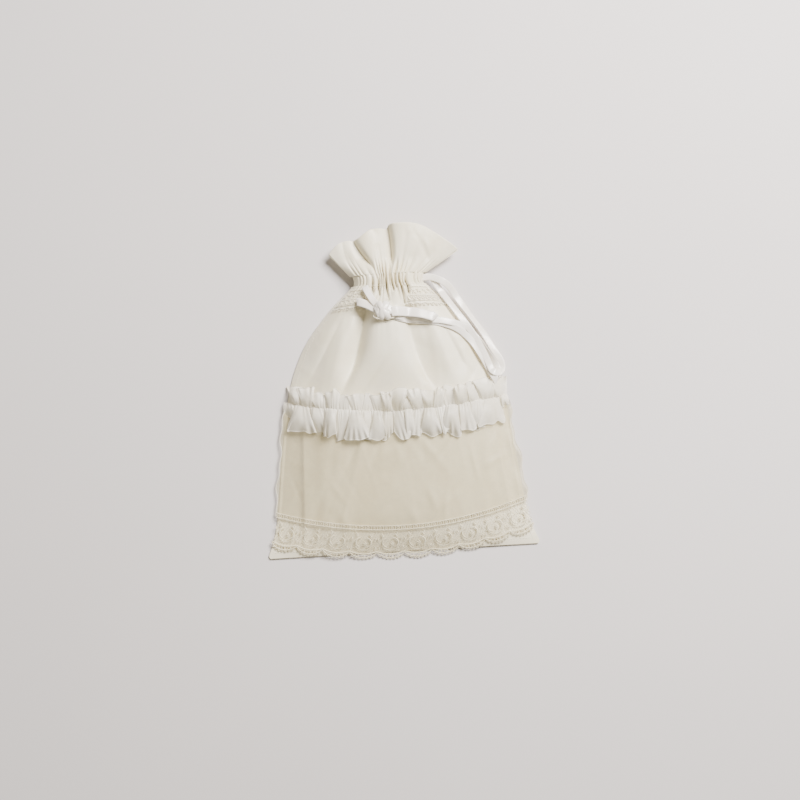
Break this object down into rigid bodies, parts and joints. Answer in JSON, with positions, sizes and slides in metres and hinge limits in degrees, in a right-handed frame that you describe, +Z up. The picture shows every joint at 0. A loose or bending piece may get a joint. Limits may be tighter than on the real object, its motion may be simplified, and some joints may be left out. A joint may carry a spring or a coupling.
{
  "type": "bridal drawstring bag",
  "caption": "Lined satin drawstring pouch lying flat, with a gathered neck and frill, a ruffle, a sheer overskirt edged with scalloped lace, and a ribbon drawstring tied in a bow.",
  "frame": {"origin": "centre of the bag's bounding box in X and Y, on the surface that its back lies on", "axes": "+X across the bag to the side of the pull loop, +Y from the hem to the frill, +Z up out of the front"},
  "size_m": [0.23, 0.2825, 0.034],
  "materials": {
    "satin": "ivory polyester satin with a soft sheen",
    "lining": "plain ivory lining cloth, matte",
    "organza": "sheer crisp organza",
    "lace": "corded cotton lace on net, matte",
    "thread": "gathering thread pulled tight over organza",
    "ribbon": "single-face satin ribbon, glossy"
  },
  "bodies": {
    "bag": {"front_panel": "satin", "back_panel": "satin", "side_seam_left": "satin", "side_seam_right": "satin", "hem_seam": "satin", "front_casing": "satin", "back_casing": "satin", "back_frill": "satin", "front_lining": "lining", "back_lining": "lining", "neck_lace": "lace", "ruffle_upper": "organza", "ruffle_lower": "organza", "overskirt_yoke": "organza", "ruffle_band": "thread", "bow_knot": "ribbon", "bow_loop_left": "ribbon", "bow_loop_right": "ribbon", "bow_tail_inner": "ribbon", "bow_tail_outer": "ribbon", "drawstring_left": "ribbon"},
    "overskirt_flap": {"overskirt": "organza", "lace_border": "lace", "lace_heading": "lace"},
    "frill_flap": {"front_frill": "satin"},
    "pull_ribbon": {"pull_loop": "ribbon", "pull_run_front": "ribbon", "pull_run_back": "ribbon"}
  },
  "joints": [
    {"name": "overskirt_lift", "type": "hinge", "parent": "bag", "child": "overskirt_flap", "pos_m": [0, -0.0423, 0.0215], "axis": [-1, 0, 0], "range_deg": [0, 120]},
    {"name": "frill_fold", "type": "hinge", "parent": "bag", "child": "frill_flap", "pos_m": [0, 0.09975, 0.0188], "axis": [1, 0, 0], "range_deg": [0, 70]},
    {"name": "pull_slide", "type": "slide", "parent": "bag", "child": "pull_ribbon", "axis": [1, 0, 0], "range_m": [0, 0.03]}
  ]
}
